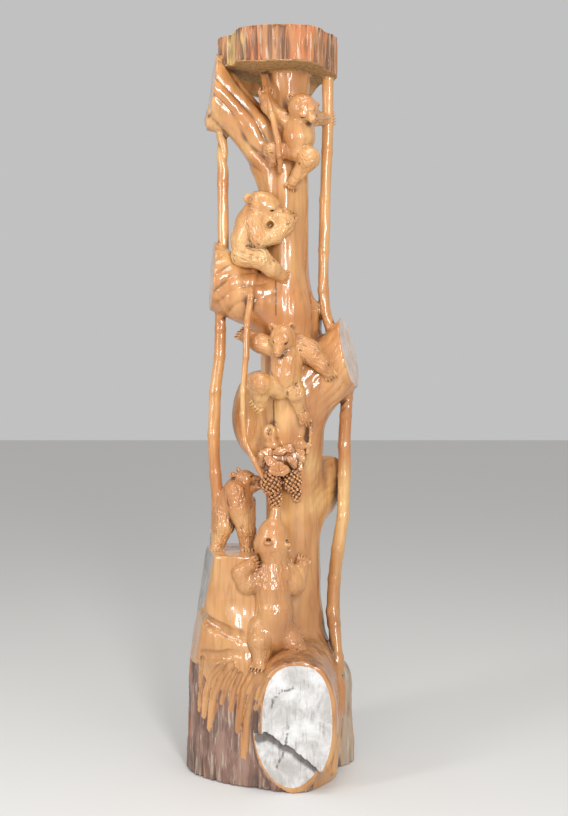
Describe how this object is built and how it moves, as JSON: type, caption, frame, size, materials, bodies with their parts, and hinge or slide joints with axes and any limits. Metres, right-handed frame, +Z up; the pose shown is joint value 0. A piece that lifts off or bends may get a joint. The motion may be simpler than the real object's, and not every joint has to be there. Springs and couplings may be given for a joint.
{
  "type": "carved bear column",
  "caption": "Tall floor sculpture carved from one log, with bears climbing a branching trunk between vines, on a bark-sided foot and under a flat cap.",
  "frame": {"origin": "middle of the flat underside, on the floor", "axes": "+Z up along the trunk, -Y towards the front with the big oval saw cut, +X to the right of someone who looks at the front"},
  "size_m": [0.5266, 0.5131, 2.2],
  "materials": {
    "varnished_wood": "glossy clear varnish over golden-brown carved wood, with bare grey saw cuts and brown bark on the foot and the cap"
  },
  "bodies": {
    "root": {"carved_column": "varnished_wood"}
  },
  "joints": []
}
